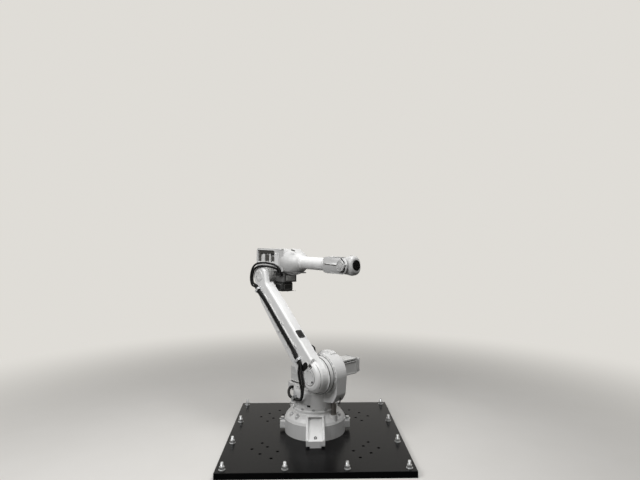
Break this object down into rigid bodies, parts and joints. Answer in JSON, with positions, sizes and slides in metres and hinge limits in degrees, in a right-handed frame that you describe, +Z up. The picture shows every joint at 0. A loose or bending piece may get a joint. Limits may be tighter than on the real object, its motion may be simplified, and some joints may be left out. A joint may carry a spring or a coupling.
{
  "type": "industrial robot arm",
  "caption": "Jointed industrial robot arm with turret, shoulder, elbow, slim forearm and tilting wrist, bolted to a square steel floor plate.",
  "frame": {"origin": "middle of the floor plate's underside", "axes": "+Z up; X and Y along the plate's sides; at rest the arm reaches 49.5 degrees from +X towards -Y"},
  "size_m": [1.22, 1.22, 1.369],
  "materials": {
    "white_paint": "semi-gloss light grey-white paint",
    "dark_paint": "satin dark grey paint",
    "motor_paint": "semi-gloss light grey paint",
    "plate_paint": "semi-gloss near-black paint",
    "black_rubber": "matt black hose",
    "black_plastic": "matt black plastic",
    "dark_steel": "oiled dark steel",
    "zinc": "bright zinc plating"
  },
  "bodies": {
    "base": {"floor_plate": "plate_paint", "base_casting": "white_paint", "axis1_bearing_ring": "dark_paint", "axis1_stop_pin": "dark_steel", "connection_panel": "zinc", "power_connector": "black_plastic", "signal_connector": "black_plastic"},
    "frame": {"turret_casting": "white_paint", "axis2_gearbox": "white_paint", "axis2_motor": "motor_paint", "axis2_motor_cap": "motor_paint", "axis1_motor": "motor_paint", "axis1_motor_cap": "motor_paint", "shoulder_cover": "white_paint", "shoulder_cable": "black_rubber", "hose_bracket": "zinc", "shoulder_hose_front": "black_rubber", "shoulder_hose_rear": "black_rubber", "turret_hose": "black_rubber"},
    "lower_arm_body": {"lower_arm": "white_paint", "arm_hose_front": "black_rubber", "arm_hose_rear": "black_rubber", "elbow_hose_front": "black_rubber", "elbow_hose_rear": "black_rubber", "hose_clamp_lower": "zinc", "hose_clamp_upper": "zinc", "axis3_gearbox": "dark_paint"},
    "arm_house_body": {"arm_house": "white_paint", "elbow_drive": "dark_paint", "axis3_motor": "dark_paint", "axis3_motor_cap": "dark_paint", "axis3_motor_plug": "black_plastic", "axis4_motor": "motor_paint", "axis5_motor": "motor_paint", "axis6_motor": "motor_paint", "house_side_cover": "white_paint"},
    "forearm": {"forearm_tube": "white_paint", "wrist_housing": "white_paint", "wrist_cover_right": "white_paint", "wrist_cover_left": "white_paint"},
    "hand": {"wrist_hand": "white_paint"},
    "flange": {"tool_flange": "black_plastic"}
  },
  "joints": [
    {"name": "axis_1_turn", "type": "hinge", "parent": "base", "child": "frame", "pos_m": [0, 0.035, 0.2126], "axis": [0, 0, 1], "range_deg": [-220.5, 139.5]},
    {"name": "axis_2_shoulder", "type": "hinge", "parent": "frame", "child": "lower_arm_body", "pos_m": [0.09742, -0.07906, 0.4853], "axis": [0.7604, 0.6494, 0], "range_deg": [-52.7, 95], "deforming": ["shoulder_hose_front", "shoulder_hose_rear"]},
    {"name": "axis_3_elbow", "type": "hinge", "parent": "lower_arm_body", "child": "arm_house_body", "pos_m": [-0.29596, 0.38153, 1.15097], "axis": [-0.7604, -0.6494, 0], "range_deg": [-31.5, 223.5], "deforming": ["elbow_hose_front", "elbow_hose_rear"]},
    {"name": "axis_4_forearm_turn", "type": "hinge", "parent": "arm_house_body", "child": "forearm", "pos_m": [-0.2944, 0.37969, 1.26594], "axis": [0.6493, -0.7602, -0.0209], "range_deg": [-400, 400]},
    {"name": "axis_5_wrist_tilt", "type": "hinge", "parent": "forearm", "child": "hand", "pos_m": [0.2218, -0.2247, 1.24929], "axis": [0.7604, 0.6494, 0], "range_deg": [-114.3, 125.7]},
    {"name": "axis_6_tool_turn", "type": "hinge", "parent": "hand", "child": "flange", "pos_m": [0.27683, -0.28913, 1.25596], "axis": [0.6474, -0.7581, 0.0785], "range_deg": [-400, 400]}
  ]
}
